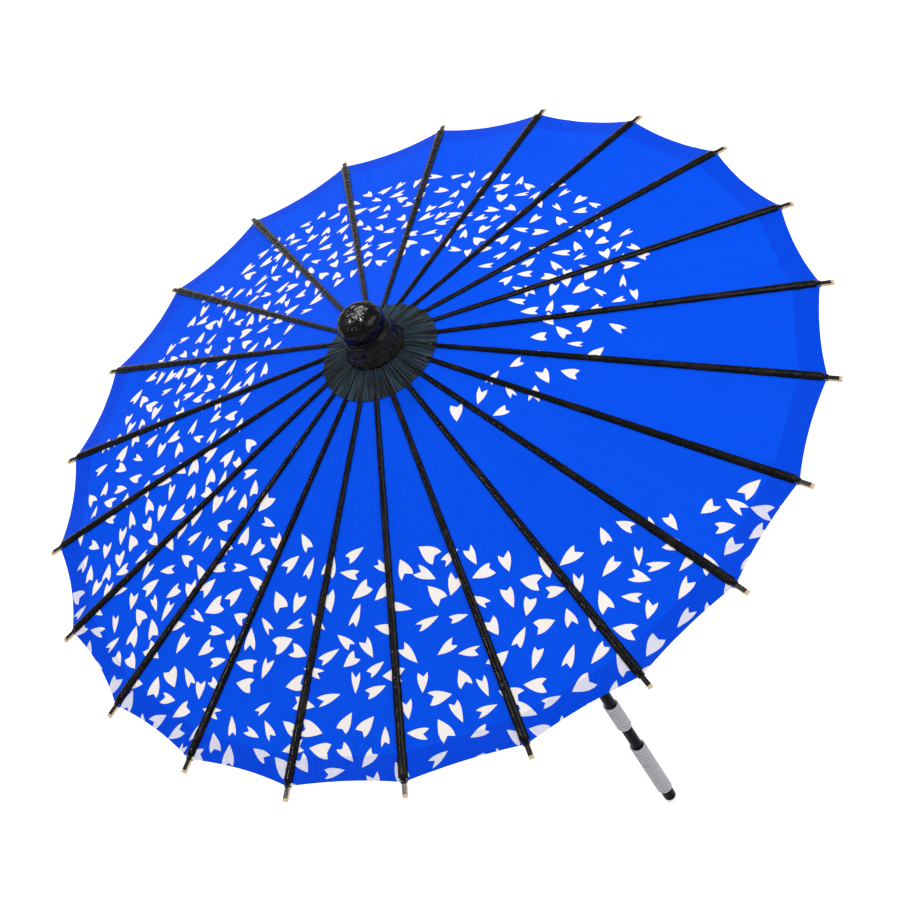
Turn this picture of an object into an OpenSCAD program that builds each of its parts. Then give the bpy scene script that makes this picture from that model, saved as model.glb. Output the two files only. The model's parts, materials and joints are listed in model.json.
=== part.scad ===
// Oil paper umbrella, open. Split-bamboo ribs and struts turn on two slotted wheels:
// the fixed head wheel at the top of the shaft, and the runner that slides under it.
// Z runs up the shaft. Z = 0 is the middle of the lower grip.

/* [Opening and closing] */
// Angle between the shaft and the open ribs
open_angle = 72.6; // [70:0.2:75]
// How far the ribs fold down to close
fold_angle = 69; // [60:0.5:69]
// Height of the rib hinges above the middle of the lower grip
hub_z = 807; // [740:1:860]
// Radius of the ring of hinges in both wheels
hinge_r = 15.5; // [15.4:0.1:17]

/* [Ribs] */
// Length of a rib from its hinge to its tip
rib_len = 413; // [380:1:440]
// Width of a rib beside the head wheel
rib_w_in = 3.0; // [2.8:0.1:3.2]
// Width of a rib at the rim
rib_w_out = 6.2; // [5:0.1:7]
// Width of the bare tip
tip_w = 4.6; // [3.5:0.1:5]
// Length of the bare tip past the paper
tip_len = 13; // [8:1:18]
// Distance from a rib's hinge to its strut's pin, and the length of a strut between pins
strut_len = 190; // [180:1:200]

/* [Struts] */
// Width of a strut between its two flattened ends
strut_w = 2.6; // [2.2:0.1:2.8]
// Thickness of the flattened ends that enter the slots
tongue_w = 1.8; // [1.6:0.1:1.9]
// Height of a strut
strut_h = 3.8; // [3.4:0.1:4]

/* [Paper] */
// Thickness of the oiled paper, with its paste and oil
paper_t = 0.4; // [0.3:0.1:0.6]
// Distance from the axis to the paper's inner edge
paper_r_in = 30; // [28:1:36]
// Width of the doubled strip along the rim
hem_w = 24; // [18:1:30]
// Radius of the dark paper round the head
crown_r = 56.5; // [50:0.5:60]

/* [Shaft and grips] */
// Diameter of the shaft
shaft_d = 13.5; // [13:0.1:13.8]
// Diameter over the lower grip's winding
lower_grip_d = 18.8; // [18:0.1:20]
// Length of the lower grip
lower_grip_len = 107; // [90:1:120]
// Diameter over the upper grip's winding
upper_grip_d = 18.0; // [17:0.1:19]
// Length of the upper grip
upper_grip_len = 52; // [40:1:60]
// Bare shaft between the two grips
grip_gap = 41; // [30:1:50]
// Diameter of the end cap
cap_d = 15.2; // [14.8:0.1:16]
// Length of the end cap
cap_len = 22.5; // [18:0.5:28]

/* [Head] */
// Diameter of the lacquered head's dome
dome_d = 44.4; // [42:0.2:46]
// Diameter of the head's skirt over the ribs
skirt_d = 58; // [56:0.2:60]
// Height of the head above the rib hinges
head_h = 45.4; // [42:0.2:48]

/* [Hidden] */
$fn = 64;
RIBS = 22;
RIB_NAMES = [for (i = [1 : RIBS]) str("rib_", i < 10 ? "0" : "", i)];
STRUT_NAMES = [for (i = [1 : RIBS]) str("strut_", i < 10 ? "0" : "", i)];

// A rib drops from its hinge by this much as it leaves the shaft
slope = 90 - open_angle;
half_pitch = 180 / RIBS;
panel_slope = atan(tan(slope) / cos(half_pitch));
tip_r = hinge_r + rib_len * sin(open_angle);
runner_z = hub_z - 2 * strut_len * cos(open_angle);
body_len = rib_len - tip_len;

// Clearances
slide_gap = 0.25;
glue_gap = 0.05;
pin_gap = 0.05;
soft_gap = 0.3;

// Hinge rings and pins
ring_r = 0.65;
pin_r = 0.7;
rib_end_r = 2.2;
strut_end_r = 1.9;
tongue_len = 9;

// Heights of a rib above and below the line through its hinge and its strut's pin
top_in = 2.3;
top_mid = 2.8;
top_out = 1.7;
tongue_top = 1.6;
under_mid = 2.4;
under_tip = 1.3;

// The slot under each rib that the strut's end turns and rests in
slot_w = tongue_w + 2 * slide_gap;
slot_back = 9;
slot_front = 37;
slot_top = 2.1;
strut_tongue = 39;

// The paper lies this far above the ribs' centre line
paper_h = 1.2;
paper_r_out = hinge_r + body_len * sin(open_angle) - 0.5;
crown_lift = 2.8;
crown_r_in = 26.5;
hem_t = 0.3;

// Wheels
wheel_r = 19.8;
core_r = 12.4;
wheel_half_h = 5.5;
slot_roof = 3.2;
head_wheel_top = 9;
head_wheel_crown = 14;
crown_flat_r = 14;
neck_r = dome_d / 2 - 1.2;
neck_low = 20.2;
neck_high = 25;
runner_h_above = 6.5;
runner_h_below = 20;
collar_r = 15;
collar_z = 13;

// Shaft heights
shaft_r = shaft_d / 2;
grip_end_z = -lower_grip_len / 2;
cap_end_z = grip_end_z - cap_len;
shaft_end_z = cap_end_z + 3;
upper_grip_z = lower_grip_len / 2 + grip_gap;
shaft_top_z = hub_z + 36;

// The spring catch under the runner
catch_w = 2.1;
catch_slot_w = 2.5;
catch_pivot = [3.6, -42.5];
catch_pin_r = 0.9;
catch_slot_back = -1.6;
catch_slot_low = -47;
catch_slot_high = -19;

bamboo = [0.78, 0.62, 0.40];
lacquer = [0.04, 0.04, 0.05];
blue = [0.02, 0.30, 0.95];
dark_paper = [0.16, 0.24, 0.27];
cord_grey = [0.78, 0.78, 0.80];
maple = [0.72, 0.58, 0.40];

function arc(centre, r, from, to, steps = 8) =
    [for (i = [0 : steps]) let (a = from + (to - from) * i / steps)
        centre + r * [cos(a), sin(a)]];

// Half the width of a rib at a distance from the axis
function rib_half_w(r) =
    (rib_w_in + (rib_w_out - rib_w_in) * (r - hinge_r) / (tip_r - hinge_r)) / 2;

// Half the width of a paper panel, measured in its own plane
function panel_half_w(r) =
    r * tan(half_pitch) - (rib_half_w(r) + soft_gap) / cos(half_pitch);

// ---- Shaft, grips and end cap ----

module shaft() {
    color(lacquer)
    difference() {
        translate([0, 0, shaft_end_z])
            cylinder(h = shaft_top_z - shaft_end_z, r = shaft_r);
        translate([catch_slot_back, -catch_slot_w / 2, runner_z + catch_slot_low])
            cube([shaft_d, catch_slot_w, catch_slot_high - catch_slot_low]);
        catch_pivot_hole(catch_pin_r + pin_gap);
    }
}

module end_cap() {
    round_r = 5;
    color(lacquer)
    rotate_extrude()
        polygon(concat(
            [[0, cap_end_z], [cap_d / 2 - round_r, cap_end_z]],
            arc([cap_d / 2 - round_r, cap_end_z + round_r], round_r, -80, 0),
            [[cap_d / 2, grip_end_z - glue_gap], [shaft_r + glue_gap, grip_end_z - glue_gap]],
            [[shaft_r + glue_gap, shaft_end_z - glue_gap], [0, shaft_end_z - glue_gap]]));
}

module wound_grip(low, len, d) {
    chamfer = 0.8;
    color(cord_grey)
    translate([0, 0, low])
        rotate_extrude()
            polygon([
                [shaft_r + glue_gap, 0], [d / 2 - chamfer, 0], [d / 2, chamfer],
                [d / 2, len - chamfer], [d / 2 - chamfer, len], [shaft_r + glue_gap, len]]);
}

module lower_grip() {
    wound_grip(grip_end_z, lower_grip_len, lower_grip_d);
}

module upper_grip() {
    wound_grip(upper_grip_z, upper_grip_len, upper_grip_d);
}

// ---- Wheels ----

// The slots that the ribs' or struts' flat ends turn in
module wheel_slots(low, high) {
    for (i = [0 : RIBS - 1])
        rotate([0, 0, i * 2 * half_pitch])
            translate([core_r, -slot_w / 2, low])
                cube([wheel_r, slot_w, high - low]);
}

module hinge_ring(r) {
    rotate_extrude()
        translate([hinge_r, 0])
            circle(r = r);
}

module head_wheel() {
    color(maple)
    translate([0, 0, hub_z])
    difference() {
        rotate_extrude()
            polygon([
                [shaft_r + glue_gap, -wheel_half_h - 5], [core_r - 1.4, -wheel_half_h - 5],
                [core_r - 0.4, -wheel_half_h], [wheel_r, -wheel_half_h], [wheel_r, head_wheel_top],
                [crown_flat_r, head_wheel_crown], [shaft_r + glue_gap, head_wheel_crown]]);
        wheel_slots(-wheel_half_h - 1, slot_roof);
        hinge_ring(ring_r + pin_gap);
    }
}

module head_ring() {
    color("silver")
    translate([0, 0, hub_z])
        hinge_ring(ring_r);
}

module runner() {
    color(maple)
    translate([0, 0, runner_z])
    difference() {
        rotate_extrude()
            polygon([
                [shaft_r + slide_gap, -runner_h_below], [collar_r, -runner_h_below],
                [collar_r, -collar_z], [core_r - 0.6, -collar_z + 2.4],
                [core_r - 0.6, -wheel_half_h], [wheel_r, -wheel_half_h],
                [wheel_r, wheel_half_h], [core_r - 0.2, wheel_half_h],
                [core_r - 1, runner_h_above], [shaft_r + slide_gap, runner_h_above]]);
        wheel_slots(-wheel_half_h - 0.5, wheel_half_h + 0.5);
        hinge_ring(ring_r + pin_gap);
    }
}

module runner_ring() {
    color("silver")
    translate([0, 0, runner_z])
        hinge_ring(ring_r);
}

// ---- Spring catch ----

module catch_pivot_hole(r) {
    translate([catch_pivot[0], 0, runner_z + catch_pivot[1]])
        rotate([90, 0, 0])
            cylinder(h = 2 * shaft_d, r = r, center = true, $fn = 32);
}

module catch() {
    nose_x = 9.6;
    color("goldenrod")
    difference() {
        translate([0, 0, runner_z])
            rotate([90, 0, 0])
                linear_extrude(height = catch_w, center = true)
                    polygon([
                        [1.9, -45.6], [5.0, -45.6], [5.8, -31], [nose_x, -25],
                        [nose_x, -21.3], [6.9, -20.4], [2.6, -20.2]]);
        catch_pivot_hole(catch_pin_r + 0.08);
    }
}

module catch_pin() {
    // Inside the shaft's wall, clear of the runner's bore
    pin_len = 2 * sqrt(pow(shaft_r, 2) - pow(catch_pivot[0] + catch_pin_r, 2)) - 0.2;
    color("silver")
    translate([catch_pivot[0], 0, runner_z + catch_pivot[1]])
        rotate([90, 0, 0])
            cylinder(h = pin_len, r = catch_pin_r, center = true, $fn = 32);
}

// ---- Ribs and struts ----

module cross_pin(x, len, r) {
    translate([x, 0, 0])
        rotate([90, 0, 0])
            cylinder(h = len, r = r, center = true, $fn = 32);
}

// A bar with this side view and this plan, both drawn along X
module split_bamboo() {
    intersection() {
        rotate([90, 0, 0])
            linear_extrude(height = 20, center = true)
                children(0);
        linear_extrude(height = 20, center = true)
            children(1);
    }
}

module rib_side() {
    circle(r = rib_end_r, $fn = 32);
    polygon([
        [0, -tongue_top], [tongue_len + 12, -tongue_top - 0.3],
        [strut_len - slot_back - 3, -under_mid], [strut_len + slot_front + 3, -under_mid],
        [body_len, -under_tip - 0.2], [rib_len, -under_tip],
        [rib_len, under_tip], [body_len + 1, under_tip], [body_len, top_out],
        [strut_len, top_mid], [tongue_len + 4, top_in], [tongue_len, tongue_top], [0, tongue_top]]);
}

module rib_plan() {
    in_w = rib_half_w(hinge_r + tongue_len);
    out_w = rib_half_w(hinge_r + body_len * sin(open_angle));
    right = [
        [-rib_end_r - 1, tongue_w / 2], [tongue_len, tongue_w / 2], [tongue_len + 1, in_w],
        [body_len, out_w], [body_len + 1, tip_w / 2], [rib_len + 1, tip_w / 2]];
    left = [for (i = [len(right) - 1 : -1 : 0]) [right[i][0], -right[i][1]]];
    polygon(concat(right, left));
}

module rib(index) {
    knot = 0.3;
    pin_len = 2 * rib_half_w(hinge_r + strut_len * sin(open_angle)) + 2 * knot;
    color(bamboo)
    rotate([0, 0, index * 2 * half_pitch])
        translate([hinge_r, 0, hub_z])
            rotate([0, slope, 0]) {
                difference() {
                    split_bamboo() {
                        rib_side();
                        rib_plan();
                    }
                    translate([strut_len - slot_back, -slot_w / 2, -2 * under_mid])
                        cube([slot_back + slot_front, slot_w, 2 * under_mid + slot_top]);
                    cross_pin(0, 3 * tongue_w, ring_r + 2 * pin_gap);
                    cross_pin(strut_len, 2 * pin_len, pin_r + pin_gap);
                }
                cross_pin(strut_len, pin_len, pin_r);
            }
}

module strut_side() {
    circle(r = strut_end_r, $fn = 32);
    translate([strut_len, 0])
        circle(r = strut_end_r, $fn = 32);
    polygon([
        [0, -strut_h / 2 + 0.2], [tongue_len, -strut_h / 2], [strut_len - strut_tongue, -strut_h / 2],
        [strut_len, -strut_h / 2 + 0.2], [strut_len, strut_h / 2 - 0.2],
        [strut_len - strut_tongue, strut_h / 2], [tongue_len, strut_h / 2], [0, strut_h / 2 - 0.2]]);
}

module strut_plan() {
    end = strut_len + strut_end_r + 1;
    right = [
        [-strut_end_r - 1, tongue_w / 2], [tongue_len - 1, tongue_w / 2], [tongue_len, strut_w / 2],
        [strut_len - strut_tongue, strut_w / 2], [strut_len - strut_tongue + 1, tongue_w / 2],
        [end, tongue_w / 2]];
    left = [for (i = [len(right) - 1 : -1 : 0]) [right[i][0], -right[i][1]]];
    polygon(concat(right, left));
}

module strut(index) {
    color(bamboo)
    rotate([0, 0, index * 2 * half_pitch])
        translate([hinge_r, 0, runner_z])
            rotate([0, -slope, 0])
                difference() {
                    split_bamboo() {
                        strut_side();
                        strut_plan();
                    }
                    cross_pin(0, 3 * tongue_w, ring_r + 2 * pin_gap);
                    cross_pin(strut_len, 3 * tongue_w, pin_r + pin_gap);
                }
}

// ---- Paper ----

// A flat panel in the plane between two ribs, from one radius to another
module panel(from_r, to_r, above, thickness) {
    apex_z = hub_z + hinge_r * tan(slope) + above / cos(panel_slope);
    from_u = from_r / cos(panel_slope);
    to_u = to_r / cos(panel_slope);
    translate([0, 0, apex_z])
        rotate([0, panel_slope, 0])
            linear_extrude(height = thickness)
                polygon([
                    [from_u, -panel_half_w(from_r)], [to_u, -panel_half_w(to_r)],
                    [to_u, panel_half_w(to_r)], [from_u, panel_half_w(from_r)]]);
}

module panels(from_r, to_r, above, thickness) {
    for (i = [0 : RIBS - 1])
        rotate([0, 0, (2 * i + 1) * half_pitch])
            panel(from_r, to_r, above, thickness);
}

module canopy() {
    color(blue)
    panels(paper_r_in, paper_r_out * cos(half_pitch), paper_h, paper_t);
}

module hem_strip() {
    color(blue)
    panels(paper_r_out * cos(half_pitch) - hem_w, paper_r_out * cos(half_pitch),
        paper_h - hem_t, hem_t);
}

module crown_paper() {
    low_out = hub_z - (crown_r - hinge_r) * tan(slope) + crown_lift;
    low_in = hub_z - (crown_r_in - hinge_r) * tan(slope) + crown_lift;
    color(dark_paper)
    rotate_extrude()
        polygon([
            [crown_r_in, low_in], [crown_r, low_out],
            [crown_r, low_out + paper_t], [crown_r_in, low_in + paper_t]]);
}

// ---- Lacquered head ----

module head_wrap() {
    dome_r = dome_d / 2;
    skirt_r = skirt_d / 2;
    bulge = 10.5;
    color(lacquer)
    translate([0, 0, hub_z])
        rotate_extrude()
            polygon(concat(
                [[wheel_r + 0.5, 1.2], [skirt_r - 4.3, 1], [skirt_r - 0.4, -0.4], [skirt_r, 0.2]],
                [[skirt_r - 1.6, 5], [skirt_r - 4, 12], [dome_r + 1.2, neck_low - 1.2]],
                [[neck_r, neck_low], [neck_r, neck_high], [dome_r - 0.3, neck_high + 1.6]],
                arc([dome_r - bulge, head_h - bulge - 1], bulge, 0, 75),
                [[7, head_h - 0.3], [0, head_h], [0, shaft_top_z - hub_z + 0.3]],
                [[shaft_r + 0.3, shaft_top_z - hub_z + 0.3], [shaft_r + 0.3, head_wheel_crown + 0.3]],
                [[crown_flat_r + 0.4, head_wheel_crown + 0.3], [wheel_r + 0.5, head_wheel_top + 0.4]]));
}

module head_cord() {
    cord_r = 0.75;
    color(lacquer)
    for (turn = [0 : 2])
        translate([0, 0, hub_z + neck_low + cord_r + glue_gap + turn * (2 * cord_r + glue_gap)])
            rotate_extrude()
                translate([neck_r + cord_r + glue_gap, 0])
                    circle(r = cord_r, $fn = 24);
}

shaft();
end_cap();
lower_grip();
upper_grip();
head_wheel();
head_ring();
head_wrap();
head_cord();
crown_paper();
canopy();
hem_strip();
runner();
runner_ring();
catch();
catch_pin();
for (i = [0 : RIBS - 1]) rib(i);
for (i = [0 : RIBS - 1]) strut(i);
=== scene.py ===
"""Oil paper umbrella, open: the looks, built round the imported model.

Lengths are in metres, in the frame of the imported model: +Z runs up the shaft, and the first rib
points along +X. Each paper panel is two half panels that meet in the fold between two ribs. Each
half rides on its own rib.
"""

import json
import logging
import math
import random
from dataclasses import dataclass, field
from enum import Enum
from typing import Any, Callable, ClassVar

import bmesh
import bpy
from mathutils import Matrix, Vector, noise
from mathutils.geometry import delaunay_2d_cdt


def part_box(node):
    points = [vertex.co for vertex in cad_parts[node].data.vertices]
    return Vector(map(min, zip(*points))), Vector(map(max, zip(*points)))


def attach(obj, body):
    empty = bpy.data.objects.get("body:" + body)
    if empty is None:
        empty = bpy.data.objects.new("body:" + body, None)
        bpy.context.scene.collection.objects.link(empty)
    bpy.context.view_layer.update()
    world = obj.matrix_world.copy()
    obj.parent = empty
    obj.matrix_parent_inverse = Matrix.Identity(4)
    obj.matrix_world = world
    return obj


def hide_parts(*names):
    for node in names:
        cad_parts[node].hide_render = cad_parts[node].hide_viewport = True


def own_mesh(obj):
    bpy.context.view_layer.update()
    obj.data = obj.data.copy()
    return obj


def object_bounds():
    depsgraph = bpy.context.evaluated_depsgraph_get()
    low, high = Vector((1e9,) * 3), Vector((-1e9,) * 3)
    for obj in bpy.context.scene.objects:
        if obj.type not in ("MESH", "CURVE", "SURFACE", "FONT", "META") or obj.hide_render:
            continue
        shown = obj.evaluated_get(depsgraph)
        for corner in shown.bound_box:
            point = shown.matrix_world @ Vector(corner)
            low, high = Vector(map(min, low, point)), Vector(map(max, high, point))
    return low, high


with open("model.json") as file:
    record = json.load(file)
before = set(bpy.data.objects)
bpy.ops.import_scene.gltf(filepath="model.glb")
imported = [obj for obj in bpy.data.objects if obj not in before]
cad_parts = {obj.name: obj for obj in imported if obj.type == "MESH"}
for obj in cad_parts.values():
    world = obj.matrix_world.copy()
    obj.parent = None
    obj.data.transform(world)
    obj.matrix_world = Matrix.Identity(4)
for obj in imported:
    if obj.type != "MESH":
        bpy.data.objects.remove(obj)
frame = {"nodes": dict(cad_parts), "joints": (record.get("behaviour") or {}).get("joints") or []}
CAD_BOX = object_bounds()

LOG = logging.getLogger("umbrella")
MM = 0.001

Colour = tuple[float, float, float, float]
Point2 = tuple[float, float]


class Side(Enum):
    """Which way a half panel reaches from its rib, seen from above with the rim at the top."""

    LEFT = 1
    RIGHT = -1


def dye(red: float, green: float, blue: float) -> Colour:
    """Turns a colour as seen on a screen into the linear colour that a shader takes.

    Args:
        red: From 0 to 255.
        green: From 0 to 255.
        blue: From 0 to 255.

    Returns:
        The linear colour, opaque.
    """
    parts = [c / 255 for c in (red, green, blue)]
    linear = [c / 12.92 if c <= 0.04045 else ((c + 0.055) / 1.055) ** 2.4 for c in parts]
    return (linear[0], linear[1], linear[2], 1.0)


def smooth(low: float, high: float, value: float) -> float:
    """Rises from 0 at low to 1 at high along a smooth step."""
    share = min(max((value - low) / (high - low), 0.0), 1.0)
    return share * share * (3 - 2 * share)


# ---------------------------------------------------------------- node trees


class Term:
    """A socket of a node tree that can be used in arithmetic, which adds Math nodes."""

    def __init__(self, bench: "Bench", socket: bpy.types.NodeSocket) -> None:
        """Keeps the socket and the bench whose tree it belongs to."""
        self.bench = bench
        self.socket = socket

    def _math(self, operation: str, first: Any, second: Any) -> "Term":
        """Adds one Math node."""
        return self.bench.term("ShaderNodeMath", {"operation": operation}, {0: first, 1: second})

    def __add__(self, other: Any) -> "Term":
        """Adds two values."""
        return self._math("ADD", self, other)

    def __sub__(self, other: Any) -> "Term":
        """Subtracts a value."""
        return self._math("SUBTRACT", self, other)

    def __rsub__(self, other: Any) -> "Term":
        """Subtracts this from a value."""
        return self._math("SUBTRACT", other, self)

    def __mul__(self, other: Any) -> "Term":
        """Multiplies two values."""
        return self._math("MULTIPLY", self, other)

    def __truediv__(self, other: Any) -> "Term":
        """Divides by a value."""
        return self._math("DIVIDE", self, other)

    def __pow__(self, other: Any) -> "Term":
        """Raises to a power."""
        return self._math("POWER", self, other)

    __radd__ = __add__
    __rmul__ = __mul__


class Bench:
    """Adds nodes to one tree, of a material or of Geometry Nodes."""

    def __init__(self, tree: bpy.types.NodeTree) -> None:
        """Works on this tree."""
        self.tree = tree

    def plug(self, socket: bpy.types.NodeSocket, value: Any) -> None:
        """Links a socket to a term or another socket, or sets its value.

        Args:
            socket: The input to fill.
            value: A Term, a socket, or a plain value.
        """
        source = value.socket if isinstance(value, Term) else value
        if isinstance(source, bpy.types.NodeSocket):
            self.tree.links.new(source, socket)
        else:
            socket.default_value = source

    def node(
        self, kind: str, settings: dict[str, Any] | None = None, inputs: dict[Any, Any] | None = None
    ) -> bpy.types.Node:
        """Adds a node, sets it up and then fills its sockets.

        Args:
            kind: The node's type.
            settings: Its properties.
            inputs: Values, terms or sockets by input name or number.

        Returns:
            The new node.
        """
        made = self.tree.nodes.new(kind)
        for name, value in (settings or {}).items():
            setattr(made, name, value)
        for name, value in (inputs or {}).items():
            self.plug(made.inputs[name], value)
        return made

    def term(
        self,
        kind: str,
        settings: dict[str, Any] | None = None,
        inputs: dict[Any, Any] | None = None,
        output: Any = 0,
    ) -> Term:
        """Adds a node as node() does and returns one of its outputs as a Term."""
        return Term(self, self.node(kind, settings, inputs).outputs[output])


class Surface(Bench):
    """A material's tree, with the few patterns that the finishes share."""

    def __init__(self, name: str) -> None:
        """Starts a material with a Principled shader.

        Args:
            name: The material's name.
        """
        self.material = bpy.data.materials.new(name)
        self.material.use_nodes = True
        super().__init__(self.material.node_tree)
        self.shader = self.tree.nodes["Principled BSDF"]

    def place(self) -> Term:
        """Object coordinates."""
        return self.term("ShaderNodeTexCoord", output="Object")

    def split(self, vector: Any) -> tuple[Term, Term, Term]:
        """Splits a vector into its X, Y and Z parts."""
        parts = self.node("ShaderNodeSeparateXYZ", None, {0: vector})
        return Term(self, parts.outputs[0]), Term(self, parts.outputs[1]), Term(self, parts.outputs[2])

    def stretch(self, vector: Any, scale: tuple[float, float, float]) -> Term:
        """Scales a vector along each axis."""
        settings = {"operation": "MULTIPLY"}
        return self.term("ShaderNodeVectorMath", settings, {0: vector, 1: scale})

    def noise(self, vector: Any, scale: float, detail: float = 3.0, rough: float = 0.5) -> Term:
        """A noise from 0 to 1.

        Args:
            vector: Where it is read.
            scale: Cells in a metre.
            detail: Octaves.
            rough: How strong the fine octaves are.

        Returns:
            The noise's value.
        """
        inputs = {"Vector": vector, "Scale": scale, "Detail": detail, "Roughness": rough}
        return self.term("ShaderNodeTexNoise", None, inputs)

    def rise(self, value: Any, low: float, high: float) -> Term:
        """A smooth step from 0 to 1.

        Args:
            value: What is measured.
            low: Where the step starts.
            high: Where it ends.

        Returns:
            The step's value.
        """
        settings = {"interpolation_type": "SMOOTHSTEP"}
        inputs = {"Value": value, "From Min": low, "From Max": high}
        return self.term("ShaderNodeMapRange", settings, inputs)

    def mix(self, first: Any, second: Any, share: Any) -> Term:
        """Mixes two colours.

        Args:
            first: The colour at share 0.
            second: The colour at share 1.
            share: A value from 0 to 1.

        Returns:
            The mixed colour.
        """
        return self.term("ShaderNodeMix", {"data_type": "RGBA"}, {0: share, 6: first, 7: second}, 2)

    def bump(self, height: Any, distance: float, strength: float = 1.0) -> Term:
        """A normal from a height of 0 to 1, which stands for this distance."""
        inputs = {"Height": height, "Distance": distance, "Strength": strength}
        return self.term("ShaderNodeBump", None, inputs)

    def finish(self, **inputs: Any) -> bpy.types.Material:
        """Fills the Principled shader's sockets.

        Args:
            inputs: Values or terms by socket name, with _ for a space.

        Returns:
            The finished material.
        """
        for name, value in inputs.items():
            self.plug(self.shader.inputs[name.replace("_", " ")], value)
        return self.material


# ---------------------------------------------------------------- finishes


@dataclass(frozen=True)
class LacquerFinish:
    """Brushed-on black lacquer, glossy and slightly uneven, with brownish patches that are partly wear and,
    on the ribs, partly painted sheen.
    """

    body: Colour = dye(8, 8, 11)
    worn_and_sheen: Colour = dye(24, 21, 21)
    gloss: float = 0.1
    shine: float = 0.13
    lump: float = 0.6 * MM
    lump_scale: float = 230.0

    def material(self, name: str) -> bpy.types.Material:
        """Makes the finish.

        Args:
            name: The material's name.

        Returns:
            The material.
        """
        make = Surface(name)
        place = make.place()
        broad = make.noise(place, 45.0, 2.0)
        lumps = make.noise(place, self.lump_scale, 3.0, 0.55)
        grain = make.noise(place, 1900.0, 2.0)
        # Brownish patches: wear, and where the ribs use this finish also a painted sheen that stands for the
        # lacquer's reflection
        worn_and_sheen = make.rise(broad, 0.5, 0.72) * 0.4
        return make.finish(
            Base_Color=make.mix(self.body, self.worn_and_sheen, worn_and_sheen),
            Roughness=self.gloss + 0.22 * make.rise(broad, 0.42, 0.75) + 0.05 * grain,
            Specular_IOR_Level=self.shine,
            Coat_Weight=0.5 * self.shine,
            Coat_Roughness=0.06,
            Normal=make.bump(lumps + 0.08 * grain, self.lump),
        )


@dataclass(frozen=True)
class PaperFinish:
    """Oiled paper, dyed through, with long fibres, radial folds darkened by painted shade, and a doubled,
    darker hem.
    """

    body: Colour
    deep: Colour
    hem: Colour
    hem_from: float
    streak: float = 0.35
    rough: float = 0.52

    def material(self, name: str) -> bpy.types.Material:
        """Makes the finish. It reads the panel's two UV maps.

        Args:
            name: The material's name.

        Returns:
            The material.
        """
        make = Surface(name)
        along, across, _ = make.split(make.term("ShaderNodeUVMap", {"uv_map": "panel"}))
        sheet = make.term("ShaderNodeUVMap", {"uv_map": "sheet"})
        cloud = make.noise(sheet, 16.0, 3.0)
        fibres = make.noise(make.stretch(sheet, (60.0, 420.0, 1.0)), 1.0, 4.0, 0.65)
        pulp = make.noise(sheet, 900.0, 3.0, 0.6)
        folds = make.noise(make.stretch(sheet, (3.5, 130.0, 1.0)), 1.0, 3.0, 0.6)
        away = make.term("ShaderNodeMath", {"operation": "ABSOLUTE"}, {0: across})
        crease = 1.0 - make.rise(away, 0.0, 0.9 * MM)
        in_hem = make.rise(along, self.hem_from - 0.4 * MM, self.hem_from + 0.4 * MM)
        paste = make.noise(make.stretch(sheet, (150.0, 220.0, 1.0)), 1.0, 4.0, 0.7)
        # Painted shade: the radial folds and the crease along the panel's middle are darkened in colour,
        # together with the random mottling and the fibres
        fold_shade_and_tone = self.streak * (make.rise(folds, 0.5, 0.78) * 0.6 + make.rise(cloud, 0.45, 0.8) * 0.4)
        fold_shade_and_tone = fold_shade_and_tone + 0.22 * make.rise(fibres, 0.5, 0.75) + 0.06 * crease * make.rise(along, 0.1, 0.3)
        colour = make.mix(self.body, self.deep, fold_shade_and_tone)
        hem_share = in_hem * (0.62 + 0.38 * make.rise(paste, 0.3, 0.7))
        height = 0.55 * folds + 0.2 * fibres + 0.12 * pulp + in_hem * (0.35 + 0.25 * paste) - 0.08 * crease
        return make.finish(
            Base_Color=make.mix(colour, self.hem, hem_share),
            Roughness=self.rough + 0.16 * fibres - 0.1 * in_hem,
            Specular_IOR_Level=0.04,
            Normal=make.bump(height, 0.5 * MM, 0.55),
        )


@dataclass(frozen=True)
class CrownPaperFinish:
    """Thin dark paper over the rib ends, gathered in many radial pleats under a brushed lacquer, with
    painted shade in the pleats.
    """

    body: Colour = dye(44, 62, 80)
    # The colour of the painted shade in the pleats
    pleat: Colour = dye(4, 7, 13)
    green: Colour = dye(26, 56, 64)

    def material(self, name: str) -> bpy.types.Material:
        """Makes the finish.

        Args:
            name: The material's name.

        Returns:
            The material.
        """
        make = Surface(name)
        along, across, _ = make.split(make.term("ShaderNodeUVMap", {"uv_map": "panel"}))
        sheet = make.term("ShaderNodeUVMap", {"uv_map": "sheet"})
        _, own, _ = make.split(sheet)
        # Pleats run to the middle, so they are read at an angle, not at a distance across
        turn = 30.0 * (across / along) + 31.0 * own
        spot = make.term("ShaderNodeCombineXYZ", None, {0: 30.0 * along, 1: turn})
        pleats = make.noise(spot, 1.0, 2.0, 0.5)
        cloud = make.noise(sheet, 85.0, 3.0)
        fibres = make.noise(sheet, 700.0, 3.0, 0.6)
        # Painted shade in the pleats' folds, with a little fibre tone
        fold_shade_and_tone = make.rise(pleats, 0.46, 0.57) * 0.9 + 0.1 * make.rise(fibres, 0.45, 0.7)
        colour = make.mix(self.body, self.green, make.rise(cloud, 0.35, 0.7))
        return make.finish(
            Base_Color=make.mix(colour, self.pleat, fold_shade_and_tone),
            Roughness=0.36 + 0.2 * fibres,
            Specular_IOR_Level=0.2,
            Normal=make.bump(1.0 - make.rise(pleats, 0.42, 0.64) + 0.15 * fibres, 0.9 * MM, 0.8),
        )


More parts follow.
